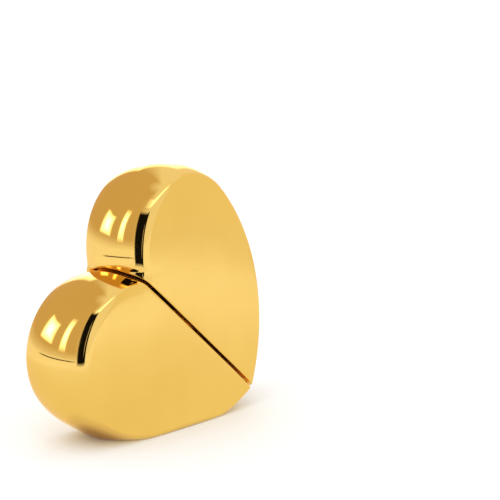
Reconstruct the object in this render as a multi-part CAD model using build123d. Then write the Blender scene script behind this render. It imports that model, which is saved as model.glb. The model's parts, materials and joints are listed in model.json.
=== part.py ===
"""Heart-shaped perfume atomiser: a metallised glass half-heart bottle with a crimped spray pump,
under a plated half-heart cap that pulls straight off.

Every piece is drawn in the heart's own frame: X along the seam from the notch to the tip, Z out of
the seam face along the pump, and Y through the thickness. The finished pieces are then tilted, so
that the heart stands on the flat of its lower lobe. The origin is on that flat, right under the
centre of the long side arc, and the heart's front face looks along -Y.
"""
import os
from math import acos, atan2, cos, degrees, radians, sin, sqrt

from build123d import *

# ---- driving dimensions, in millimetres and degrees ----
# the heart
seam_length = 64.0          # notch to tip
thickness = 23.2            # front face to back face
seam_tilt = 39.7            # of the seam below the horizontal, notch high and tip low
notch_angle = 41.5          # between the outline at the notch and the seam drawn on past it
notch_radius = 29.2         # short arc beside the notch
notch_sweep = 16.2
lobe_radius = 21.45         # arc round the lobe
side_radius = 56.4          # long arc from the lobe to the tip
bulge_radius = 23.0         # side wall, across the thickness
edge_radius = 2.8           # where the side wall meets a flat face
base_lift = 5.2             # how far the flat base cuts into the round outline
seam_gap = 0.7              # between the bottle and the cap

# bottle
glass_wall = 2.4
glass_shoulder = 3.0
glass_floor = 3.0
glass_seam_round = 0.8
glass_base_round = 0.6
pump_place = 30.0           # pump axis, from the notch along the seam
neck_radius = 5.6
bead_radius = 6.5
bead_bottom = 3.2           # heights on the pump axis are measured from the seam's middle plane
neck_top = 6.5
neck_bore_radius = 4.2
bead_round = 0.5

# cap
cap_wall = 1.7
cap_seam_round = 0.3
plate_recess = 0.3
plate_thickness = 1.6
liner_wall = 0.65
liner_inside = 1.4          # room over the push button
rib_height = 0.3
rib_width = 0.7
rib_count = 8
rib_top = 9.0

# crimp and collar
gasket_height = 1.2
flange_radius = 6.2
flange_height = 1.0
ferrule_radius = 7.05
ferrule_wall = 0.4
ferrule_chamfer = 0.4
crimp_radius = 5.8
crimp_gap = 0.3             # from the bead down to the rolled edge
crimp_lip = 0.5             # thickness of the rolled edge
crimp_rise = 0.1            # of the roll's outer corner above the bead's underside
collar_radius = 7.6
collar_wall = 0.5
collar_mouth = 6.4
collar_gap = 0.1            # over the ferrule
collar_round = 0.4

# pump
housing_radius = 4.0
chamber_radius = 3.2
chamber_floor = -9.0
lip_radius = 1.3
lip_height = 0.7
cage_radius = 1.75
cage_outside = 3.0
cage_slope = 1.0            # height of the cones at the cage's top
cage_roof = 0.3
ball_seat = -12.4
inlet_radius = 0.8
inlet_length = 1.0
socket_outside = 2.4         # socket for the dip tube
socket_shoulder = 0.8       # below the ball's seat, where the cage narrows to it
socket_slope = 0.6
housing_end = -18.0
turret_radius = 3.0
turret_flange_radius = 5.4
turret_flange = 0.8
turret_top = 11.4
turret_chamfer = 0.5
turret_skirt = 5.2          # underside of the part of the turret inside the chamber
stem_gasket_height = 0.8
stem_radius = 1.7
stem_bore = 0.7
stem_foot_radius = 2.3
stem_foot = 0.4             # underside of the stem's foot
stem_foot_height = 0.8
stem_top = 19.0
stem_chamfer = 0.3
valve_bore = 1.0
valve_bore_top = 3.0
valve_cone = 1.0            # height of the pin's point, and of the seat up to it
valve_throat = 0.2          # of the seat, past the pin's point
piston_height = 3.0
piston_lip = 0.6
piston_waist = 2.6
piston_chamfer = 0.2
pin_disc_radius = 2.7
pin_disc_height = 0.7
pin_tail = 1.3
pin_tail_radius = 0.8
pin_tail_tip = 0.6
pin_tail_chamfer = 0.3
pin_clearance = 0.15        # of the pin in the valve bore
spring_radius = 2.45        # to the middle of the wire
spring_wire = 0.45
spring_turns = 6.0
ball_radius = 1.5
tube_radius = 1.45
tube_bore = 0.85
tube_clearance = 1.0        # end of the dip tube to the glass floor

# push button
button_bottom = 14.2
button_height = 8.4
button_recess = 1.4         # up into the core, so that it passes the turret
recess_gap = 0.4            # round the turret
core_lift = 0.2             # of the core's underside above the shell's rim
button_radius = 5.8
button_wall = 0.35
button_round = 0.8
nozzle_height = 19.9
nozzle_radius = 1.2
nozzle_depth = 2.2
orifice_radius = 0.25
orifice_dish = 0.8          # depth of the cone round the orifice
nozzle_hole_gap = 0.15      # round the insert, in the shell
nozzle_end_gap = 0.1        # behind the insert

slide_gap = 0.03            # running clearance of the pump's sliding parts
grip_gap = 0.05             # between the liner's ribs and the collar
touch_gap = 0.02            # between the ball and its seat

# ---- derived ----
seam_half = seam_gap / 2
gasket_top = neck_top + gasket_height
housing_top = gasket_top + flange_height
ferrule_ceiling = housing_top + turret_flange
ferrule_top = ferrule_ceiling + ferrule_wall
collar_top = ferrule_top + collar_gap + collar_wall
button_top = button_bottom + button_height
liner_radius = collar_radius + grip_gap + rib_height + liner_wall
plate_bottom = seam_half + plate_recess
far = 4 * seam_length       # larger than the whole object
cut_past = 1.0              # how far a cutter runs on past what it cuts
least_edge = 0.5            # smallest radius at the edge of a hollow


def polar(radius, angle):
    """Point in the heart's plane, the angle counted from +X towards +Z."""
    return Vector(radius * cos(radians(angle)), 0, radius * sin(radians(angle)))


def half_arcs():
    """Centre, radius, first and last direction of the upper half's arcs, from notch to tip."""
    first = 270 - notch_angle
    notch_centre = -polar(notch_radius, first)
    second = first - notch_sweep
    lobe_centre = notch_centre + polar(notch_radius - lobe_radius, second)
    to_tip = Vector(seam_length, 0, 0) - lobe_centre
    step = side_radius - lobe_radius
    reach = (side_radius**2 - step**2 - to_tip.length**2) / (2 * step)
    third = degrees(atan2(to_tip.Z, to_tip.X) + acos(reach / to_tip.length))
    side_centre = lobe_centre - polar(step, third)
    last = degrees(atan2(-side_centre.Z, seam_length - side_centre.X))
    return [
        (notch_centre, notch_radius, first, second),
        (lobe_centre, lobe_radius, second, third),
        (side_centre, side_radius, third, last),
    ]


def find_stand():
    """Tilt that stands the heart on its flat, with the origin under the long side arc's centre."""
    centre = half_arcs()[2][0]
    tilt = Rot(0, seam_tilt, 0)
    low_centre = (tilt * Pos(centre.X, 0, -centre.Z)).position
    base = low_centre.Z - side_radius + base_lift
    return Pos(-low_centre.X, 0, -base) * tilt


stand = find_stand()


def above(height):
    """Everything over a height in the frame that the shape is drawn in."""
    return Pos(0, 0, height + far / 2) * Box(far, far, far)


def below(height):
    return Pos(0, 0, height - far / 2) * Box(far, far, far)


# ---- the heart's outer form ----
def wall_section(inset, depth):
    """Section of the side wall, X outwards from the outline and Y through the thickness."""
    face = thickness / 2 - inset
    edge = max(edge_radius - inset, least_edge)
    bulge = bulge_radius - inset
    edge_y = face - edge
    edge_x = sqrt((bulge - edge) ** 2 - edge_y**2) - bulge_radius
    turn = atan2(edge_y, edge_x + bulge_radius)
    joint = Vector(bulge * cos(turn) - bulge_radius, bulge * sin(turn))
    halfway = (radians(90) + turn) / 2
    middle = Vector(edge_x + edge * cos(halfway), edge_y + edge * sin(halfway))
    side = ThreePointArc((joint.X, -joint.Y), (-inset, 0), (joint.X, joint.Y))
    front = ThreePointArc((edge_x, -face), (middle.X, -middle.Y), (joint.X, -joint.Y))
    back = ThreePointArc((joint.X, joint.Y), (middle.X, middle.Y), (edge_x, face))
    inner = Polyline((edge_x, face), (-depth, face), (-depth, -face), (edge_x, -face))
    return make_face([front, side, back, inner])


def half_blank(inset=0.0):
    """The upper half heart, not yet cut at the seam. inset moves every surface inwards."""
    depth = 7.0                 # of the swept side wall, from the outline
    overlap = 1.0               # of the flat core into the wall
    run_on = 20.0               # degrees that the end arcs run on past the seam
    arcs = half_arcs()
    arcs[0] = (*arcs[0][:2], arcs[0][2] + run_on, arcs[0][3])
    arcs[-1] = (*arcs[-1][:3], arcs[-1][3] - run_on / 2)
    section = wall_section(inset, depth)
    walls = []
    core_edges = []
    for centre, radius, first, last in arcs:
        out = polar(1, first)
        plane = Plane(origin=centre + out * radius, x_dir=out, z_dir=(-out.Z, 0, out.X))
        axis = Axis(centre, (0, 1, 0))
        walls.append(revolve(plane * section, axis, first - last))
        inner = radius - depth + overlap
        points = [centre + polar(inner, angle) for angle in (first, (first + last) / 2, last)]
        core_edges.append(ThreePointArc(*points))
    notch_end = core_edges[0] @ 0
    tip_end = core_edges[-1] @ 1
    outer_notch = arcs[0][0] + polar(arcs[0][1] - inset - overlap, arcs[0][2])
    floor = min(tip_end.Z, outer_notch.Z) - depth
    core_edges.append(
        Polyline(tip_end, (tip_end.X, 0, floor), (outer_notch.X, 0, floor), outer_notch, notch_end)
    )
    core = extrude(make_face(core_edges), thickness / 2 - inset, both=True)
    return core.fuse(*walls)


def seam_edges(shape, height):
    """The edges of a half that lie round its seam face."""
    return shape.edges().filter_by(lambda edge: abs(edge.center().Z - height) < 0.01
                                   and abs(edge.bounding_box().size.Z) < 0.01)


# ---- turned pieces ----
def turned(*corners):
    """Solid of revolution about the pump axis, from its (radius, height) corners."""
    section = Plane.XZ * make_face(Polyline(*corners, close=True))
    return Pos(pump_place, 0, 0) * revolve(section, Axis.Z)


def rod(radius, bottom, top):
    height = top - bottom
    return Pos(pump_place, 0, bottom + height / 2) * Cylinder(radius, height)


def ring(outer, inner, bottom, top):
    return rod(outer, bottom, top) - rod(inner, bottom - cut_past, top + cut_past)


# ---- bottle ----
def make_bottle():
    """Moulded glass half heart: hollow, flat underneath, with a beaded neck in its seam face."""
    outer = half_blank() & above(seam_half)
    outer = fillet(seam_edges(outer, seam_half), glass_seam_round)
    outer = stand * outer.mirror(Plane.XY) & above(0)
    outer = fillet(outer.faces().sort_by(Axis.Z)[0].edges(), glass_base_round)
    hollow = half_blank(glass_wall) & above(seam_half + glass_shoulder)
    hollow = stand * hollow.mirror(Plane.XY) & above(glass_floor)
    sunk = 1.0                  # of the neck into the shoulder
    neck = rod(neck_radius, -seam_half - sunk, neck_top)
    bead = rod(bead_radius, bead_bottom, neck_top)
    bead = fillet(bead.edges().filter_by(GeomType.CIRCLE), bead_round)
    bore = rod(neck_bore_radius, -seam_half - glass_shoulder - sunk, neck_top + sunk)
    return outer - hollow + stand * (neck + bead) - stand * bore


# ---- cap ----
def make_cap_shell():
    outer = half_blank() & above(seam_half)
    outer = fillet(seam_edges(outer, seam_half), cap_seam_round)
    return outer - (half_blank(cap_wall) & above(seam_half - cut_past))


def make_cap_plate():
    """Plate glued into the cap's seam face, with a hole for the liner."""
    plate = half_blank(cap_wall + slide_gap) & above(plate_bottom)
    plate = plate & below(plate_bottom + plate_thickness)
    plate_top = plate_bottom + plate_thickness
    return plate - rod(liner_radius, plate_bottom - cut_past, plate_top + cut_past)


def make_cap_liner():
    """Socket that slips over the collar and grips it with upright ribs."""
    inside = liner_radius - liner_wall
    ceiling = button_top + liner_inside
    tip = collar_radius + grip_gap
    sunk = 0.2                  # of a rib into the wall
    tube = rod(liner_radius, plate_bottom, ceiling + liner_wall)
    tube -= rod(inside, plate_bottom - cut_past, ceiling)
    rib_depth = inside + sunk - tip
    rib_length = rib_top - plate_bottom
    rib = Pos(tip + rib_depth / 2, 0, plate_bottom + rib_length / 2)
    rib *= Box(rib_depth, rib_width, rib_length)
    turns = [360 / rib_count * (index + 0.5) for index in range(rib_count)]
    return tube.fuse(*[Pos(pump_place, 0, 0) * Rot(0, 0, turn) * rib for turn in turns])


# ---- crimp and collar ----
def make_neck_gasket():
    return ring(flange_radius, housing_radius + slide_gap, neck_top, gasket_top)


def make_crimp_ferrule():
    """Aluminium cap over the pump's flanges, rolled in under the bead of the neck."""
    inside = ferrule_radius - ferrule_wall
    hole = turret_radius + slide_gap
    roll_top = bead_bottom - crimp_gap
    roll_bottom = roll_top - crimp_lip
    return turned(
        (hole, ferrule_ceiling),
        (hole, ferrule_top),
        (ferrule_radius - ferrule_chamfer, ferrule_top),
        (ferrule_radius, ferrule_top - ferrule_chamfer),
        (ferrule_radius, bead_bottom),
        (crimp_radius + crimp_lip, roll_bottom),
        (crimp_radius, roll_bottom),
        (crimp_radius, roll_top),
        (crimp_radius + crimp_gap, roll_top),
        (inside, bead_bottom + crimp_rise),
        (inside, ferrule_ceiling),
    )


def make_decor_collar():
    """Gold sleeve pushed over the ferrule, down to the shoulder of the bottle."""
    inside = collar_radius - collar_wall
    sleeve = ring(collar_radius, inside, -seam_half, collar_top)
    sleeve += ring(collar_radius, collar_mouth, collar_top - collar_wall, collar_top)
    top_edges = sleeve.edges().filter_by(GeomType.CIRCLE).group_by(Axis.Z)[-1]
    return fillet(top_edges.sort_by(SortBy.RADIUS)[-1], collar_round)


# ---- pump ----
def make_pump_housing():
    """Moulded body: flange on the gasket, piston chamber, cage for the ball and socket for the tube."""
    neck_down = chamber_floor - lip_height
    shoulder = ball_seat - socket_shoulder
    return turned(
        (chamber_radius, housing_top),
        (flange_radius, housing_top),
        (flange_radius, gasket_top),
        (housing_radius, gasket_top),
        (housing_radius, neck_down),
        (cage_outside, neck_down - cage_slope),
        (cage_outside, shoulder),
        (socket_outside, shoulder - socket_slope),
        (socket_outside, housing_end),
        (tube_radius, housing_end),
        (tube_radius, ball_seat - inlet_length),
        (inlet_radius, ball_seat - inlet_length),
        (inlet_radius, ball_seat),
        (cage_radius, ball_seat),
        (cage_radius, neck_down - cage_roof),
        (lip_radius, neck_down),
        (lip_radius, chamber_floor),
        (chamber_radius, chamber_floor),
    )


def make_housing_turret():
    """Stopper of the chamber, with the tower that guides the stem."""
    guide = stem_radius + slide_gap
    skirt = chamber_radius - slide_gap
    return turned(
        (guide, turret_skirt),
        (guide, turret_top),
        (turret_radius - turret_chamfer, turret_top),
        (turret_radius, turret_top - turret_chamfer),
        (turret_radius, ferrule_ceiling),
        (turret_flange_radius, ferrule_ceiling),
        (turret_flange_radius, housing_top),
        (skirt, housing_top),
        (skirt, turret_skirt),
    )


def make_stem_gasket():
    return ring(
        chamber_radius - slide_gap, stem_radius + slide_gap, turret_skirt - stem_gasket_height, turret_skirt
    )


def make_inlet_ball():
    """Steel ball, resting on the edge of the inlet hole."""
    height = ball_seat + sqrt(ball_radius**2 - inlet_radius**2) + touch_gap
    return Pos(pump_place, 0, height) * Sphere(ball_radius)


def make_dip_tube():
    """Tube from the housing's socket, cut off level with the bottle's floor and just over it."""
    floor_height = (glass_floor - (stand * Pos(pump_place, 0, 0)).position.Z) / cos(radians(seam_tilt))
    tube = ring(tube_radius, tube_bore, floor_height - 2, ball_seat - inlet_length)
    return stand * tube & above(glass_floor + tube_clearance)


def make_return_spring():
    """Compression spring from the chamber's floor up to the disc of the valve pin."""
    bottom = chamber_floor + spring_wire / 2
    top = stem_foot - pin_disc_height - spring_wire / 2
    path = Helix((top - bottom) / spring_turns, top - bottom, spring_radius)
    wire = Plane(origin=path @ 0, z_dir=path % 0) * Circle(spring_wire / 2)
    return Pos(pump_place, 0, bottom) * sweep(wire, path, is_frenet=True)


def make_valve_pin():
    """Pin that the spring pushes up to plug the stem, until the chamber is under pressure."""
    disc_bottom = stem_foot - pin_disc_height
    tail_end = disc_bottom - pin_tail
    head = valve_bore - pin_clearance
    return turned(
        (0, tail_end),
        (pin_tail_tip, tail_end),
        (pin_tail_radius, tail_end + pin_tail_chamfer),
        (pin_tail_radius, disc_bottom),
        (pin_disc_radius, disc_bottom),
        (pin_disc_radius, stem_foot),
        (head, stem_foot),
        (head, valve_bore_top - valve_cone),
        (0, valve_bore_top - touch_gap),
    )


def make_piston():
    """Soft ring with a sealing lip at each end, held on the stem."""
    bottom = stem_foot + stem_foot_height
    top = bottom + piston_height
    lip = chamber_radius - slide_gap
    bore = stem_radius + slide_gap
    return turned(
        (bore, bottom),
        (lip - piston_chamfer, bottom),
        (lip, bottom + piston_lip / 2),
        (piston_waist, bottom + piston_lip),
        (piston_waist, top - piston_lip),
        (lip, top - piston_lip / 2),
        (lip - piston_chamfer, top),
        (bore, top),
    )


def make_stem():
    """Hollow stem: foot under the piston, valve bore, and the upper end that carries the button."""
    foot_top = stem_foot + stem_foot_height
    return turned(
        (valve_bore, stem_foot),
        (stem_foot_radius, stem_foot),
        (stem_foot_radius, foot_top),
        (stem_radius, foot_top),
        (stem_radius, stem_top - stem_chamfer),
        (stem_radius - stem_chamfer, stem_top),
        (stem_bore, stem_top),
        (stem_bore, valve_bore_top + valve_throat),
        (valve_bore, valve_bore_top - valve_cone),
    )


# ---- push button ----
def make_actuator_core():
    """Plastic button: socket for the stem, and the channel from it to the nozzle."""
    outside = button_radius - button_wall
    core = rod(outside, button_bottom + core_lift, button_top - button_wall)
    core -= rod(turret_radius + recess_gap, button_bottom - cut_past, button_bottom + button_recess)
    core -= rod(stem_radius, button_bottom - cut_past, stem_top)
    core -= rod(stem_bore, stem_top - cut_past, nozzle_height)
    seat = Pos(pump_place, -button_radius, nozzle_height) * Rot(90, 0, 0)
    core -= seat * Cylinder(nozzle_radius, 2 * nozzle_depth)
    return core - seat * Pos(0, 0, -button_radius / 2) * Cylinder(orifice_radius * 2, button_radius)


def make_actuator_shell():
    """Gold cover of the button, with the hole for the nozzle."""
    cup = rod(button_radius, button_bottom, button_top)
    cup = fillet(cup.edges().group_by(Axis.Z)[-1], button_round)
    cup -= rod(button_radius - button_wall, button_bottom - cut_past, button_top - button_wall)
    hole = Pos(pump_place, -button_radius, nozzle_height) * Rot(90, 0, 0)
    return cup - hole * Cylinder(nozzle_radius + nozzle_hole_gap, 2 * nozzle_depth)


def make_nozzle_insert():
    """Round insert in the side of the button, dished round its orifice."""
    length = nozzle_depth - nozzle_end_gap
    seat = Pos(pump_place, -button_radius + nozzle_depth, nozzle_height) * Rot(90, 0, 0)
    insert = Pos(0, 0, length / 2) * Cylinder(nozzle_radius, length)
    insert -= Pos(0, 0, length) * Cone(orifice_radius, nozzle_radius * 0.6, orifice_dish)
    return seat * (insert - Pos(0, 0, length / 2) * Cylinder(orifice_radius, length + cut_past))


# ---- the pieces, standing as the heart stands ----
pieces = {
    "bottle": make_bottle(),
    "cap_shell": stand * make_cap_shell(),
    "cap_plate": stand * make_cap_plate(),
    "cap_liner": stand * make_cap_liner(),
    "decor_collar": stand * make_decor_collar(),
    "crimp_ferrule": stand * make_crimp_ferrule(),
    "neck_gasket": stand * make_neck_gasket(),
    "pump_housing": stand * make_pump_housing(),
    "housing_turret": stand * make_housing_turret(),
    "stem_gasket": stand * make_stem_gasket(),
    "stem": stand * make_stem(),
    "piston": stand * make_piston(),
    "valve_pin": stand * make_valve_pin(),
    "return_spring": stand * make_return_spring(),
    "inlet_ball": stand * make_inlet_ball(),
    "dip_tube": make_dip_tube(),
    "actuator_core": stand * make_actuator_core(),
    "actuator_shell": stand * make_actuator_shell(),
    "nozzle_insert": stand * make_nozzle_insert(),
}

os.makedirs("parts", exist_ok=True)
for name, piece in pieces.items():
    export_step(piece, f"parts/{name}.step")
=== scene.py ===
"""Heart-shaped perfume atomiser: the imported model's looks.

The two mirror-gold halves are rebuilt here from the same driving dimensions as the CAD, as smooth
surfaces fine enough for mirror reflections. Everything is in metres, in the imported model's frame.
"""
import json
from math import acos, asin, atan2, cos, degrees, hypot, pi, radians, sin, sqrt

import bmesh
import bpy
import numpy as np
from mathutils import Matrix, Vector


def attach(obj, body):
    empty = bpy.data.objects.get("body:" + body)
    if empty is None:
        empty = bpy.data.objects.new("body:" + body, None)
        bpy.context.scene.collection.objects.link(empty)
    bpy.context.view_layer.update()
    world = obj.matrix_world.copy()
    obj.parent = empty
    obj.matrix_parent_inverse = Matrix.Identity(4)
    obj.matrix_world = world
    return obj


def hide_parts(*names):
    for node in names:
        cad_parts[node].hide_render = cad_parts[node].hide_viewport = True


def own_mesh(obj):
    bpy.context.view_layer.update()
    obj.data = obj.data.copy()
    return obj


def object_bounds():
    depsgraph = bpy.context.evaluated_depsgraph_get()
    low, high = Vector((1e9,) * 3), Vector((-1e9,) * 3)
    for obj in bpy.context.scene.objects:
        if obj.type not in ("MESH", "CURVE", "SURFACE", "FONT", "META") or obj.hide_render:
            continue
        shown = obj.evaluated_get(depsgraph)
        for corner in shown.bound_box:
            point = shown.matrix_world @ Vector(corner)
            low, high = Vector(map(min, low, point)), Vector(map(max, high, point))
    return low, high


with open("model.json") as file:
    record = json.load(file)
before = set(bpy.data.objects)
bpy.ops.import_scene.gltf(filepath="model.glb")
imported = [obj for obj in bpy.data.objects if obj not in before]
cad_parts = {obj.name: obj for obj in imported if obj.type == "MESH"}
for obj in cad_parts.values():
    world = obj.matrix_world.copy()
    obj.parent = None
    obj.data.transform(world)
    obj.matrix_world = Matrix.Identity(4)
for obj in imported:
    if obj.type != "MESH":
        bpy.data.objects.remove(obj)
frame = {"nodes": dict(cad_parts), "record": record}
cad_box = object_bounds()
MM = 0.001

# ---- the heart's form, as in the CAD ----
SEAM_LENGTH = 64.0 * MM
THICKNESS = 23.2 * MM
SEAM_TILT = radians(39.7)
NOTCH_ANGLE = 41.5
NOTCH_RADIUS = 29.2 * MM
NOTCH_SWEEP = 16.2
LOBE_RADIUS = 21.45 * MM
SIDE_RADIUS = 56.4 * MM
BULGE_RADIUS = 23.0 * MM
EDGE_RADIUS = 2.8 * MM
BASE_LIFT = 5.2 * MM
SEAM_HALF = 0.35 * MM
GLASS_WALL = 2.4 * MM
GLASS_SHOULDER = 3.0 * MM
GLASS_FLOOR = 3.0 * MM
GLASS_SEAM_ROUND = 0.8 * MM
GLASS_BASE_ROUND = 0.6 * MM
CAP_WALL = 1.7 * MM
CAP_SEAM_ROUND = 0.3 * MM
PUMP_PLACE = 30.0 * MM
FACE_CROWN = 0.30 * MM      # how much a face falls away towards its rim
FACE_CROWN_WIDTH = 12.0 * MM
GLASS_CREASE = 0.15 * MM    # how far past the middle each bulge is centred, which leaves a ridge
CAP_CREASE = 0.5 * MM
CAVITY_ROUND = 1.2 * MM
HOLLOW_PAST = 1.5 * MM       # how far the cap's cutter passes its open side
HOLLOW_ROUND = 0.05 * MM
HALVINGS = 44                # of the search for the surface, far below a nanometre


def polar(radius, angle):
    return np.array([radius * cos(radians(angle)), radius * sin(radians(angle))])


def half_arcs():
    """Centre, radius, first and last direction of the upper half's arcs, from notch to tip."""
    first = 270 - NOTCH_ANGLE
    notch_centre = -polar(NOTCH_RADIUS, first)
    second = first - NOTCH_SWEEP
    lobe_centre = notch_centre + polar(NOTCH_RADIUS - LOBE_RADIUS, second)
    to_tip = np.array([SEAM_LENGTH, 0.0]) - lobe_centre
    reach = hypot(*to_tip)
    step = SIDE_RADIUS - LOBE_RADIUS
    along = (SIDE_RADIUS**2 - step**2 - reach**2) / (2 * step)
    third = degrees(atan2(to_tip[1], to_tip[0]) + acos(along / reach))
    side_centre = lobe_centre - polar(step, third)
    return (notch_centre, NOTCH_RADIUS), (lobe_centre, LOBE_RADIUS, second, third), (side_centre, SIDE_RADIUS)


def find_stand():
    """Matrix from the heart's own frame (X along the seam, Z out of it) to the standing heart."""
    centre = half_arcs()[2][0]
    tilt = Matrix.Rotation(SEAM_TILT, 4, "Y")
    low = tilt @ Vector((centre[0], 0, -centre[1]))
    base = low.z - SIDE_RADIUS + BASE_LIFT
    return Matrix.Translation((-low.x, 0, -base)) @ tilt


STAND = find_stand()
OUT = (STAND.to_3x3() @ Vector((0, 0, 1))).normalized()     # along the pump, out of the bottle


def outline_gap(u, v):
    """Distance outside the half heart's outline, negative inside, counted from the notch beside it."""
    (notch, notch_radius), (lobe, lobe_radius, second, third), (side, side_radius) = half_arcs()
    angle = np.degrees(np.arctan2(v - lobe[1], u - lobe[0]))
    angle = np.where(angle < -90, angle + 360, angle)
    by_notch = np.hypot(u - notch[0], v - notch[1]) - notch_radius
    by_lobe = np.hypot(u - lobe[0], v - lobe[1]) - lobe_radius
    by_side = np.hypot(u - side[0], v - side[1]) - side_radius
    past_notch = (u - notch[0]) * notch[1] > (v - notch[1]) * notch[0]
    by_notch = np.where(past_notch, -np.hypot(u, v), by_notch)
    upper = np.where(angle > second, by_notch, np.where(angle < third, by_side, by_lobe))
    return np.where(past_notch, np.maximum(by_side, by_notch), upper)


class Wall:
    """Section of the side wall and the face: bulge, rounded edge and slightly crowned face."""

    def __init__(self, inset=0.0, crown=0.0, crease=0.0):
        self.face = THICKNESS / 2 - inset
        self.crown = crown
        self.crease = crease
        self.edge = max(EDGE_RADIUS - inset, 0.5 * MM)
        self.bulge = hypot(BULGE_RADIUS, crease) - inset
        self.slope = atan2(2 * crown, FACE_CROWN_WIDTH)
        self.edge_y = self.face - crown - self.edge * cos(self.slope)
        self.edge_x = sqrt((self.bulge - self.edge) ** 2 - (self.edge_y + crease) ** 2) - BULGE_RADIUS
        self.turn = atan2(self.edge_y + crease, self.edge_x + BULGE_RADIUS)
        self.rim = self.edge_x + self.edge * sin(self.slope)

    def gap(self, out, y):
        """Distance outside the section, for points this far outside the outline."""
        y = np.abs(y)
        by_bulge = np.hypot(out + BULGE_RADIUS, y + self.crease) - self.bulge
        by_edge = np.hypot(out - self.edge_x, y - self.edge_y) - self.edge
        inward = np.clip((self.rim - out) / FACE_CROWN_WIDTH, 0, 1)
        by_face = (y - self.face + self.crown * (1 - inward) ** 2) * cos(self.slope)
        on_bulge = np.arctan2(y + self.crease, out + BULGE_RADIUS) <= self.turn
        on_edge = (out - self.edge_x) * cos(self.slope) > (y - self.edge_y) * sin(self.slope)
        return np.where(on_bulge, by_bulge, np.where(on_edge, by_edge, by_face))

    def levels(self):
        """Heights through the thickness, closer together where the section turns."""
        bulge = [self.bulge * sin(a) - self.crease for a in np.linspace(
            asin(self.crease / self.bulge), self.turn, 22)]
        edge = [self.edge_y + self.edge * sin(a) for a in np.linspace(self.turn, pi / 2 - self.slope, 18)]
        rim = [self.face - self.crown * (1 - x) ** 2 for x in np.linspace(0, 1, 16)]
        upper = bulge + edge[1:] + (rim[1:] if self.crown else [])
        return [-y for y in upper[:0:-1]] + upper


def rounded(a, b, radius):
    """The corner where two gaps meet, rounded."""
    corner = np.hypot(a + radius, b + radius) - radius
    return np.where((a > -radius) & (b > -radius), corner, np.maximum(a, b))


def half_mesh(name, wall, seam_height, seam_round, lower=False, floor=None, columns=640):
    """Closed mesh of a half heart over seam_height: rings through the thickness and flat faces.

    A lower half is the mirror image, cut flat at the height floor and standing on it.
    """
    inset = THICKNESS / 2 - wall.face

    def gap(u, y, v):
        shape = rounded(wall.gap(outline_gap(u, v), y), seam_height - v, seam_round)
        if floor is None:
            return shape
        height = STAND[2][0] * u - STAND[2][2] * v + STAND[2][3]
        return rounded(shape, floor - height, GLASS_BASE_ROUND)

    middle = np.array([0.36 * SEAM_LENGTH, 0.15 * SEAM_LENGTH])

    def reach(y, turns):
        near = np.zeros(np.broadcast(y, turns).shape)
        away = np.full(near.shape, SEAM_LENGTH)
        for _ in range(HALVINGS):
            half = (near + away) / 2
            inside = gap(middle[0] + half * np.cos(turns), y, middle[1] + half * np.sin(turns)) < 1e-8
            near = np.where(inside, half, near)
            away = np.where(inside, away, half)
        return near

    # columns evenly spaced along the middle ring
    fine = np.linspace(-pi, pi, 8001)
    far = reach(0.0, fine)
    ring = middle[:, None] + far * np.array([np.cos(fine), np.sin(fine)])
    along = np.concatenate([[0], np.cumsum(np.hypot(*np.diff(ring)))])
    turns = np.interp(np.arange(columns) / columns * along[-1], along, fine)

    levels = np.array(wall.levels())
    reaches = reach(levels[:, None], turns[None, :])
    rows = [(y, row) for y, row in zip(levels, reaches)]
    shrink = (0.8, 0.55, 0.3, 0.1)
    rows = [(rows[0][0], rows[0][1] * s) for s in shrink[::-1]] + rows
    rows = rows + [(rows[-1][0], rows[-1][1] * s) for s in shrink]

    side = -1 if lower else 1
    points = []
    for y, row in rows:
        u = middle[0] + row * np.cos(turns)
        v = middle[1] + row * np.sin(turns)
        points.append(np.stack([u, np.full(columns, y), side * v], axis=1))
    points = np.concatenate(points)
    points = np.vstack([points, [[middle[0], rows[0][0], side * middle[1]],
                                 [middle[0], rows[-1][0], side * middle[1]]]])
    world = points @ np.array(STAND.to_3x3()).T + np.array(STAND.translation)

    count = len(rows)
    faces = []
    for i in range(count - 1):
        for j in range(columns):
            k = (j + 1) % columns
            faces.append((i * columns + j, i * columns + k, (i + 1) * columns + k, (i + 1) * columns + j))
    first_pole, last_pole = count * columns, count * columns + 1
    for j in range(columns):
        k = (j + 1) % columns
        faces.append((first_pole, k, j))
        faces.append((last_pole, (count - 1) * columns + j, (count - 1) * columns + k))
    return solid(name, world, faces)


def solid(name, points, faces):
    """An object from points and faces, its normals outwards and shaded smooth but for sharp edges."""
    mesh = bpy.data.meshes.new(name)
    mesh.from_pydata([tuple(p) for p in points], [], faces)
    shape = bmesh.new()
    shape.from_mesh(mesh)
    bmesh.ops.recalc_face_normals(shape, faces=shape.faces)
    shape.to_mesh(mesh)
    shape.free()
    piece = bpy.data.objects.new(name, mesh)
    bpy.context.scene.collection.objects.link(piece)
    smooth(piece)
    return piece


def smooth(piece, sharp=32):
    piece.data.shade_smooth()
    piece.data.set_sharp_from_angle(angle=radians(sharp))


def carve(piece, tool, operation):
    """Joins the tool to the piece or cuts it away, and deletes the tool."""
    change = piece.modifiers.new(operation, "BOOLEAN")
    change.operation = operation
    change.solver = "MANIFOLD"
    change.object = tool
    apply_modifiers(piece)
    bpy.data.objects.remove(tool)


def apply_modifiers(piece):
    bpy.context.view_layer.update()
    shown = piece.evaluated_get(bpy.context.evaluated_depsgraph_get())
    mesh = bpy.data.meshes.new_from_object(shown)
    piece.modifiers.clear()
    piece.data = mesh


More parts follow.
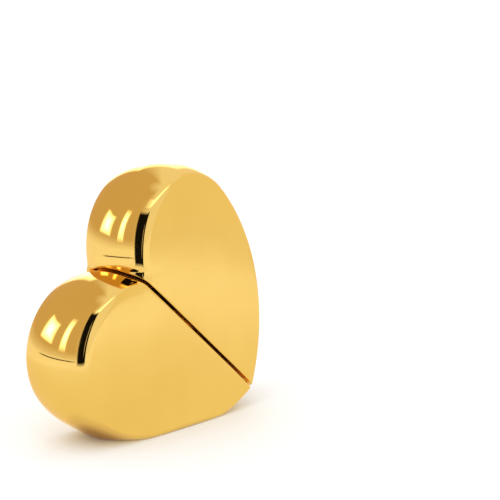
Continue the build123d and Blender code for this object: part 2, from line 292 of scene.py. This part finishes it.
def lathe(name, corners, columns=128):
    """Closed solid of revolution about the pump axis, from its (radius, height) corners in millimetres."""
    ring = [Vector((r * MM, 0, z * MM)) for r, z in corners]
    points = []
    for j in range(columns):
        spin = Matrix.Rotation(2 * pi * j / columns, 4, "Z")
        points += [STAND @ (Vector((PUMP_PLACE, 0, 0)) + spin @ p) for p in ring]
    size = len(ring)
    faces = []
    for j in range(columns):
        k = (j + 1) % columns
        for i in range(size):
            n = (i + 1) % size
            faces.append((j * size + i, j * size + n, k * size + n, k * size + i))
    piece = solid(name, points, faces)
    weld = bmesh.new()
    weld.from_mesh(piece.data)
    bmesh.ops.remove_doubles(weld, verts=weld.verts, dist=1e-7)
    bmesh.ops.recalc_face_normals(weld, faces=weld.faces)
    weld.to_mesh(piece.data)
    weld.free()
    smooth(piece)
    return piece


# ---- the two halves ----
NECK_RADIUS = 5.6               # these are in millimetres, like lathe's corners
NECK_ROOT = -1.4
NECK_TOP = 6.5
BEAD_RADIUS = 6.5
BEAD_BOTTOM = 3.2
BEAD_CHAMFER = 0.4
BEAD_TOP_DROP = 0.5
BORE_RADIUS = 4.2
BORE_BOTTOM = -4.6
BORE_TOP = 8.0


def make_bottle():
    """Mirror-gold glass half: smooth outside, hollow inside, with its beaded neck."""
    outside = Wall(crown=FACE_CROWN, crease=GLASS_CREASE)
    bottle = half_mesh("bottle_gold", outside, SEAM_HALF, GLASS_SEAM_ROUND, lower=True, floor=0.0)
    bead_inside = BEAD_RADIUS - BEAD_CHAMFER
    profile = [(0, NECK_ROOT), (NECK_RADIUS, NECK_ROOT), (NECK_RADIUS, BEAD_BOTTOM)]
    profile += [(bead_inside, BEAD_BOTTOM), (BEAD_RADIUS, BEAD_BOTTOM + BEAD_CHAMFER)]
    profile += [(BEAD_RADIUS, NECK_TOP - BEAD_TOP_DROP), (bead_inside, NECK_TOP), (0, NECK_TOP)]
    carve(bottle, lathe("neck", profile), "UNION")
    cavity = half_mesh("cavity", Wall(inset=GLASS_WALL), SEAM_HALF + GLASS_SHOULDER, CAVITY_ROUND,
                       lower=True, floor=GLASS_FLOOR, columns=240)
    carve(bottle, cavity, "DIFFERENCE")
    profile = [(0, BORE_BOTTOM), (BORE_RADIUS, BORE_BOTTOM), (BORE_RADIUS, BORE_TOP), (0, BORE_TOP)]
    carve(bottle, lathe("bore", profile), "DIFFERENCE")
    smooth(bottle)
    return bottle


def make_cap():
    """Mirror-gold plated half, open at the seam."""
    outside = Wall(crown=FACE_CROWN, crease=CAP_CREASE)
    cap = half_mesh("cap_gold", outside, SEAM_HALF, CAP_SEAM_ROUND)
    hollow = half_mesh("hollow", Wall(inset=CAP_WALL), SEAM_HALF - HOLLOW_PAST, HOLLOW_ROUND, columns=320)
    carve(cap, hollow, "DIFFERENCE")
    smooth(cap)
    return cap


def arc(centre, radius, first, last, steps=8):
    """Points of a profile's rounded corner, as (radius, height) in millimetres."""
    turns = np.linspace(radians(first), radians(last), steps + 1)
    return [(centre[0] + radius * cos(turn), centre[1] + radius * sin(turn)) for turn in turns]


# ---- the collar, the button and the spring ----
COLLAR_RADIUS = 7.6             # these too are in millimetres
COLLAR_WALL = 0.5
COLLAR_MOUTH = 6.4
COLLAR_TOP = 10.5
COLLAR_ROUND = 0.4
BUTTON_RADIUS = 5.8
BUTTON_WALL = 0.35
BUTTON_BOTTOM = 14.2
BUTTON_TOP = 22.6
BUTTON_ROUND = 0.8
BUTTON_DISH = 0.2
NOZZLE_HEIGHT = 19.9
NOZZLE_HOLE = 1.35
NOZZLE_CUT = 4.0
SPRING_RADIUS = 2.45
SPRING_WIRE = 0.45
SPRING_BOTTOM = -9.0
SPRING_TOP = -0.3
SPRING_TURNS = 7.5


def make_collar():
    """Polished sleeve with a rolled-in top edge."""
    inside = COLLAR_RADIUS - COLLAR_WALL
    corner = (COLLAR_RADIUS - COLLAR_ROUND, COLLAR_TOP - COLLAR_ROUND)
    foot = -SEAM_HALF / MM
    profile = [(inside, foot), (COLLAR_RADIUS, foot)] + arc(corner, COLLAR_ROUND, 0, 90)
    profile += [(COLLAR_MOUTH, COLLAR_TOP), (COLLAR_MOUTH, COLLAR_TOP - COLLAR_WALL)]
    profile += [(inside, COLLAR_TOP - COLLAR_WALL)]
    return lathe("collar_gold", profile, columns=160)


def make_button_shell():
    """Polished cup over the push button, lightly dished for a fingertip, with the nozzle's hole."""
    inside = BUTTON_RADIUS - BUTTON_WALL
    corner = (BUTTON_RADIUS - BUTTON_ROUND, BUTTON_TOP - BUTTON_ROUND)
    profile = [(inside, BUTTON_BOTTOM), (BUTTON_RADIUS, BUTTON_BOTTOM)] + arc(corner, BUTTON_ROUND, 0, 90)
    for share in np.linspace(0.9, 0, 10):
        profile.append((corner[0] * share, BUTTON_TOP - BUTTON_DISH * (1 - share**2)))
    profile += [(0, BUTTON_TOP - BUTTON_WALL), (inside, BUTTON_TOP - BUTTON_WALL)]
    shell = lathe("button_gold", profile, columns=160)
    cutter = bmesh.new()
    mouth = STAND @ Matrix.Translation((PUMP_PLACE, -BUTTON_RADIUS * MM, NOZZLE_HEIGHT * MM))
    mouth = mouth @ Matrix.Rotation(pi / 2, 4, "X")
    bmesh.ops.create_cone(cutter, cap_ends=True, segments=48, radius1=NOZZLE_HOLE * MM,
                          radius2=NOZZLE_HOLE * MM, depth=NOZZLE_CUT * MM, matrix=mouth)
    mesh = bpy.data.meshes.new("nozzle_hole")
    cutter.to_mesh(mesh)
    cutter.free()
    hole = bpy.data.objects.new("nozzle_hole", mesh)
    bpy.context.scene.collection.objects.link(hole)
    carve(shell, hole, "DIFFERENCE")
    smooth(shell)
    return shell


def make_spring(steps_a_turn=48, sides=12):
    """Wound wire: open coils between a closed coil at each end."""
    steps = int(SPRING_TURNS * steps_a_turn)
    turns = np.linspace(0, SPRING_TURNS, steps + 1)
    closed = np.clip(np.minimum(turns, SPRING_TURNS - turns), 0, 1)
    pace = 0.25 + 0.75 * closed**2 * (3 - 2 * closed)
    climb = np.concatenate([[0], np.cumsum((pace[1:] + pace[:-1]) / 2)])
    length = SPRING_TOP - SPRING_BOTTOM - SPRING_WIRE
    heights = SPRING_BOTTOM + SPRING_WIRE / 2 + length * climb / climb[-1]
    points = []
    for turn, height in zip(turns, heights):
        outward = Vector((cos(2 * pi * turn), sin(2 * pi * turn), 0))
        middle = outward * SPRING_RADIUS + Vector((0, 0, height))
        for side in range(sides):
            spin = 2 * pi * side / sides
            rim = middle + (outward * cos(spin) + Vector((0, 0, 1)) * sin(spin)) * SPRING_WIRE / 2
            points.append(STAND @ (Vector((PUMP_PLACE, 0, 0)) + rim * MM))
    faces = []
    for i in range(steps):
        for side in range(sides):
            n = (side + 1) % sides
            faces.append((i * sides + side, i * sides + n, (i + 1) * sides + n, (i + 1) * sides + side))
    faces.append(tuple(range(sides)))
    faces.append(tuple(steps * sides + side for side in range(sides)))
    return solid("spring_wire", points, faces)


# ---- materials ----
def new_material(name, metallic=0.0, roughness=0.4):
    material = bpy.data.materials.new(name)
    material.use_nodes = True
    shader = material.node_tree.nodes["Principled BSDF"]
    shader.inputs["Metallic"].default_value = metallic
    shader.inputs["Roughness"].default_value = roughness
    return material, shader


def add(material, kind):
    return material.node_tree.nodes.new(kind)


def noise(material, scale, detail=2.0):
    """Noise in the object's own coordinates, scale in cycles a metre."""
    place = add(material, "ShaderNodeTexCoord")
    texture = add(material, "ShaderNodeTexNoise")
    texture.inputs["Scale"].default_value = scale
    texture.inputs["Detail"].default_value = detail
    material.node_tree.links.new(place.outputs["Object"], texture.inputs["Vector"])
    return texture.outputs["Fac"]


def turning_marks(material, scale):
    """Fine bands round the pump axis, as turning or drawing leaves them."""
    place = add(material, "ShaderNodeTexCoord")
    along = add(material, "ShaderNodeVectorMath")
    along.operation = "DOT_PRODUCT"
    along.inputs[1].default_value = OUT
    texture = add(material, "ShaderNodeTexNoise")
    texture.noise_dimensions = "1D"
    texture.inputs["Scale"].default_value = scale
    texture.inputs["Detail"].default_value = 3.0
    material.node_tree.links.new(place.outputs["Object"], along.inputs[0])
    material.node_tree.links.new(along.outputs["Value"], texture.inputs["W"])
    return texture.outputs["Fac"]


def ramp(material, source, stops):
    """Colour or grey that follows a factor, from (position, colour) stops."""
    node = add(material, "ShaderNodeValToRGB")
    elements = node.color_ramp.elements
    while len(elements) < len(stops):
        elements.new(0.5)
    for element, (position, colour) in zip(elements, stops):
        element.position = position
        element.color = (*colour, 1.0)
    material.node_tree.links.new(source, node.inputs["Fac"])
    return node.outputs["Color"]


def grey(value):
    return (value, value, value)


def bump(material, shader, source, height):
    node = add(material, "ShaderNodeBump")
    node.inputs["Distance"].default_value = height
    material.node_tree.links.new(source, node.inputs["Height"])
    material.node_tree.links.new(node.outputs["Normal"], shader.inputs["Normal"])


def surface(name, metallic, tones, roughness, marks, wave_height):
    """Material whose colour and roughness wander between two values, with a faint relief.

    marks takes the material and gives the pattern that the roughness and the relief follow.
    """
    material, shader = new_material(name, metallic)
    links = material.node_tree.links
    tone = ramp(material, noise(material, 90), [(0.3, tones[0]), (0.7, tones[1])])
    links.new(tone, shader.inputs["Base Color"])
    pattern = marks(material)
    links.new(ramp(material, pattern, [(0.3, grey(roughness[0])), (0.7, grey(roughness[1]))]),
              shader.inputs["Roughness"])
    bump(material, shader, pattern, wave_height)
    return material


def mirror_gold(name, wave_scale, wave_height, roughness):
    """Vacuum-metallised gold under lacquer: a near mirror with slow waves and faint haze."""
    material, shader = new_material(name, metallic=1.0)
    links = material.node_tree.links
    tone = ramp(material, noise(material, 45), [(0.3, (0.865, 0.565, 0.150)), (0.7, (0.905, 0.605, 0.170))])
    links.new(tone, shader.inputs["Base Color"])
    low, high = roughness
    links.new(ramp(material, noise(material, 220, 5), [(0.35, grey(low)), (0.7, grey(high))]),
              shader.inputs["Roughness"])
    shader.inputs["Specular Tint"].default_value = (1.0, 0.86, 0.74, 1.0)
    bump(material, shader, noise(material, wave_scale, 1.0), wave_height)
    return material


def metallised_glass():
    return mirror_gold("metallised_glass", 70, 0.04 * MM, (0.035, 0.06))


def plated_plastic():
    return mirror_gold("plated_plastic", 55, 0.01 * MM, (0.03, 0.05))


def cap_plastic():
    """Plated like the shell, but on a plainer moulding, so it is satin."""
    return surface("cap_plastic", 1.0, ((0.80, 0.53, 0.20), (0.86, 0.58, 0.23)), (0.22, 0.34),
                   lambda material: noise(material, 420, 2), 0.0015 * MM)


def natural_plastic():
    return surface("natural_plastic", 0.0, ((0.80, 0.80, 0.77), (0.86, 0.86, 0.84)), (0.34, 0.46),
                   lambda material: noise(material, 1100, 3), 0.006 * MM)


def piston_plastic():
    return surface("piston_plastic", 0.0, ((0.74, 0.79, 0.84), (0.80, 0.84, 0.88)), (0.40, 0.52),
                   lambda material: noise(material, 1500, 2), 0.005 * MM)


def seal_rubber():
    return surface("seal_rubber", 0.0, ((0.66, 0.66, 0.63), (0.74, 0.74, 0.71)), (0.62, 0.80),
                   lambda material: noise(material, 2600, 4), 0.010 * MM)


def clear_tube():
    """Extruded polyethylene, milky rather than clear at this wall."""
    return surface("clear_tube", 0.0, ((0.82, 0.84, 0.83), (0.88, 0.89, 0.88)), (0.18, 0.30),
                   lambda material: noise(material, 600, 1), 0.004 * MM)


def gold_aluminium():
    return surface("gold_aluminium", 1.0, ((0.84, 0.56, 0.20), (0.90, 0.62, 0.24)), (0.09, 0.19),
                   lambda material: turning_marks(material, 9000), 0.0015 * MM)


def bare_aluminium():
    return surface("bare_aluminium", 1.0, ((0.74, 0.74, 0.75), (0.83, 0.83, 0.84)), (0.24, 0.40),
                   lambda material: turning_marks(material, 6000), 0.003 * MM)


def spring_steel():
    return surface("spring_steel", 1.0, ((0.56, 0.56, 0.57), (0.68, 0.68, 0.68)), (0.20, 0.34),
                   lambda material: noise(material, 3500, 2), 0.002 * MM)


def ball_steel():
    return surface("ball_steel", 1.0, ((0.70, 0.70, 0.72), (0.76, 0.76, 0.77)), (0.05, 0.10),
                   lambda material: noise(material, 2500, 2), 0.0005 * MM)


def paint(obj, material):
    """Gives every slot of a piece this material."""
    if not obj.data.materials:
        obj.data.materials.append(material)
    for slot in obj.material_slots:
        slot.link = "DATA"
        slot.material = material


# ---- stage, light and camera ----
VIEW_AZIMUTH = radians(-48.2)
VIEW_ELEVATION = radians(12.5)
VIEW_DISTANCE = 485 * MM
AIM_RIGHT = 22 * MM             # the heart stands low and left in the picture
AIM_UP = 22 * MM
LENS = 126.5                    # on a sensor 36 mm wide
CENTRE = (cad_box[0] + cad_box[1]) / 2
FLOOR_SIZE = 6.0
FLOOR_HEIGHT = -0.20 * MM       # the patches lie between the paper and the base, a hair apart
GLOW_HEIGHT = -0.12 * MM
SHADE_HEIGHT = -0.06 * MM


def towards(azimuth, elevation):
    """Direction at an azimuth, 0 in front and positive to the right, and an elevation."""
    return Vector((sin(azimuth) * cos(elevation), -cos(azimuth) * cos(elevation), sin(elevation)))


def look(thing, place, target):
    thing.location = place
    thing.rotation_mode = "QUATERNION"
    thing.rotation_quaternion = (target - place).to_track_quat("-Z", "Y")


def make_camera():
    back = towards(VIEW_AZIMUTH, VIEW_ELEVATION)
    right = Vector((cos(VIEW_AZIMUTH), sin(VIEW_AZIMUTH), 0))
    up = back.cross(right)
    middle = STAND @ Vector((SEAM_LENGTH / 2, 0, 0))
    camera = bpy.data.objects.new("camera", bpy.data.cameras.new("camera"))
    camera.data.sensor_width = 36.0
    camera.data.lens = LENS
    camera.data.clip_start = 0.01
    camera.data.clip_end = 50.0
    look(camera, middle + back * VIEW_DISTANCE, middle + right * AIM_RIGHT + up * AIM_UP)
    bpy.context.scene.collection.objects.link(camera)
    bpy.context.scene.camera = camera


def make_floor():
    corners = [(x * FLOOR_SIZE, y * FLOOR_SIZE, 0) for x, y in ((-1, -1), (1, -1), (1, 1), (-1, 1))]
    mesh = bpy.data.meshes.new("floor")
    mesh.from_pydata(corners, [], [(0, 1, 2, 3)])
    floor = bpy.data.objects.new("floor", mesh)
    bpy.context.scene.collection.objects.link(floor)
    floor.location.z = FLOOR_HEIGHT
    material, shader = new_material("floor_paper", roughness=0.75)
    tone = ramp(material, noise(material, 3, 2), [(0.3, grey(0.90)), (0.7, grey(0.92))])
    material.node_tree.links.new(tone, shader.inputs["Base Color"])
    shader.inputs["Specular IOR Level"].default_value = 0.2
    paint(floor, material)


def card_light(name, strength, colour):
    """Light of a card, fading out where the mesh's fade attribute does."""
    material = bpy.data.materials.new(name)
    material.use_nodes = True
    nodes = material.node_tree.nodes
    links = material.node_tree.links
    nodes.clear()
    glow = nodes.new("ShaderNodeEmission")
    glow.inputs["Color"].default_value = (*colour, 1)
    glow.inputs["Strength"].default_value = strength
    clear = nodes.new("ShaderNodeBsdfTransparent")
    fade = nodes.new("ShaderNodeAttribute")
    fade.attribute_name = "fade"
    mix = nodes.new("ShaderNodeMixShader")
    end = nodes.new("ShaderNodeOutputMaterial")
    links.new(fade.outputs["Fac"], mix.inputs["Fac"])
    links.new(clear.outputs["BSDF"], mix.inputs[1])
    links.new(glow.outputs["Emission"], mix.inputs[2])
    links.new(mix.outputs["Shader"], end.inputs["Surface"])
    return material


def stage_card(name, mesh, strength, colour):
    """Adds a glowing panel to the scene, where only mirrors see it."""
    card = bpy.data.objects.new(name, mesh)
    bpy.context.scene.collection.objects.link(card)
    card.data.materials.append(card_light(name, strength, colour))
    card.visible_camera = False
    card.visible_diffuse = False
    card.visible_shadow = False
    card.visible_transmission = False
    return card


def make_card(name, azimuth, elevation, radius, strength, colour=(1, 1, 1), soft=0.0):
    """Curved studio panel that only mirrors see, between two azimuths and two elevations in degrees.

    soft is the share of its width and height, from each edge, over which it fades out.
    """
    across, up = 32, 16
    points = []
    fades = []
    for i in range(across + 1):
        for j in range(up + 1):
            s, t = i / across, j / up
            a = radians(azimuth[0] + (azimuth[1] - azimuth[0]) * s)
            e = radians(elevation[0] + (elevation[1] - elevation[0]) * t)
            points.append(tuple(CENTRE + towards(a, e) * radius))
            edge = min(s, 1 - s, t, 1 - t)
            fades.append(min(edge / soft, 1.0) if soft else 1.0)
    faces = []
    for i in range(across):
        for j in range(up):
            k = i * (up + 1) + j
            faces.append((k, k + 1, k + up + 2, k + up + 1))
    mesh = bpy.data.meshes.new(name)
    mesh.from_pydata(points, [], faces)
    mesh.attributes.new("fade", "FLOAT", "POINT").data.foreach_set("value", fades)
    stage_card(name, mesh, strength, colour)


def make_patch(name, reaches, fades, strength, colour, spokes=48):
    """Round patch on the paper that only mirrors see, fading from ring to ring."""
    points = [(reach * cos(2 * pi * i / spokes), reach * sin(2 * pi * i / spokes), 0) for reach in reaches
              for i in range(spokes)]
    faces = [tuple(range(spokes))]
    for ring in range(len(reaches) - 1):
        for i in range(spokes):
            n = (i + 1) % spokes
            inner = ring * spokes
            outer = inner + spokes
            faces.append((inner + i, outer + i, outer + n, inner + n))
    mesh = bpy.data.meshes.new(name)
    mesh.from_pydata(points, [], faces)
    shares = [fade for fade in fades for _ in range(spokes)]
    mesh.attributes.new("fade", "FLOAT", "POINT").data.foreach_set("value", shares)
    return stage_card(name, mesh, strength, colour)


def make_patches():
    """Light and shade on the paper round the base: the gold's own glow, and the dark close under it."""
    glow = make_patch("warm_glow", (0.040, 0.070, 0.110, 0.170), (1.0, 0.85, 0.6, 0.0), 0.97,
                      (1.0, 0.95, 0.72))
    glow.location.z = GLOW_HEIGHT
    shade = make_patch("contact_shade", (0.024, 0.030, 0.036, 0.044), (1.0, 0.8, 0.25, 0.0), 0.22,
                       (1.0, 0.55, 0.25))
    shade.location.z = SHADE_HEIGHT
    shade.scale = (0.92, 0.31, 1.0)


def make_cards():
    """The studio that the gold mirrors: a flag with a slit in it, softboxes, walls and the table's edge."""
    make_card("black_flag", (-84, -50), (-12.5, 52), 0.10, 0.008, soft=0.03)
    make_card("slit_light", (-65, -62.5), (-4, 38), 0.097, 1.4, (1.0, 0.92, 0.88), soft=0.3)
    make_card("top_light", (-86, 30), (54, 68), 0.30, 2.6, soft=0.3)
    make_card("dim_room", (-230, -72), (-4, 88), 0.60, 0.70, (1.0, 0.80, 0.52), soft=0.12)
    make_card("left_softbox", (-152, -124), (8, 32), 0.30, 6.0, soft=0.4)
    make_card("side_strip", (-113, -103), (4, 46), 0.30, 4.5, soft=0.45)
    make_card("back_softbox", (116, 152), (2, 45), 0.40, 5.0, soft=0.4)
    make_card("table_edge", (-142, -83), (-6.9, -5.6), 0.15, 0.10, (0.9, 0.45, 0.2), soft=0.18)
    make_card("right_wall", (18, 100), (-8.0, 60), 0.215, 0.95, (1.0, 0.96, 0.88), soft=0.004)
    make_card("warm_wall", (18, 100), (-9.0, 60), 0.210, 0.96, (1.0, 0.95, 0.74), soft=0.12)


def make_lights():
    scene = bpy.context.scene
    scene.view_settings.view_transform = "Standard"
    scene.world = bpy.data.worlds.new("studio")
    scene.world.use_nodes = True
    background = scene.world.node_tree.nodes["Background"]
    background.inputs["Color"].default_value = (1.0, 1.0, 1.0, 1)
    background.inputs["Strength"].default_value = 1.0
    key = bpy.data.lights.new("key", "SUN")
    key.energy = 0.9
    key.angle = radians(50)
    key.color = (0.90, 0.95, 1.0)
    lamp = bpy.data.objects.new("key", key)
    look(lamp, CENTRE + towards(radians(-75), radians(55)) * 1.2, CENTRE)
    lamp.visible_glossy = False
    scene.collection.objects.link(lamp)


# ---- the pieces ----
def place(piece, body, node, slot, material):
    """Puts a rebuilt piece in the place of its CAD node."""
    paint(piece, material)
    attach(piece, body)
    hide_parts(node)


materials = {
    "metallised_glass": metallised_glass(),
    "plated_plastic": plated_plastic(),
    "cap_plastic": cap_plastic(),
    "natural_plastic": natural_plastic(),
    "gold_aluminium": gold_aluminium(),
    "bare_aluminium": bare_aluminium(),
    "seal_rubber": seal_rubber(),
    "piston_plastic": piston_plastic(),
    "spring_steel": spring_steel(),
    "ball_steel": ball_steel(),
    "clear_tube": clear_tube(),
}
for subpart in frame["record"]["subparts"]:
    paint(frame["nodes"][subpart["node"]], materials[subpart["material_slot"]])

place(make_bottle(), "bottle_body", "bottle", "metallised_glass", materials["metallised_glass"])
place(make_cap(), "cap", "cap_shell", "plated_plastic", materials["plated_plastic"])
place(make_collar(), "bottle_body", "decor_collar", "gold_aluminium", materials["gold_aluminium"])
place(make_button_shell(), "push_button", "actuator_shell", "gold_aluminium", materials["gold_aluminium"])
spring = make_spring()
place(spring, "bottle_body", "return_spring", "spring_steel", materials["spring_steel"])
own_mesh(spring)

make_camera()
make_floor()
make_cards()
make_patches()
make_lights()
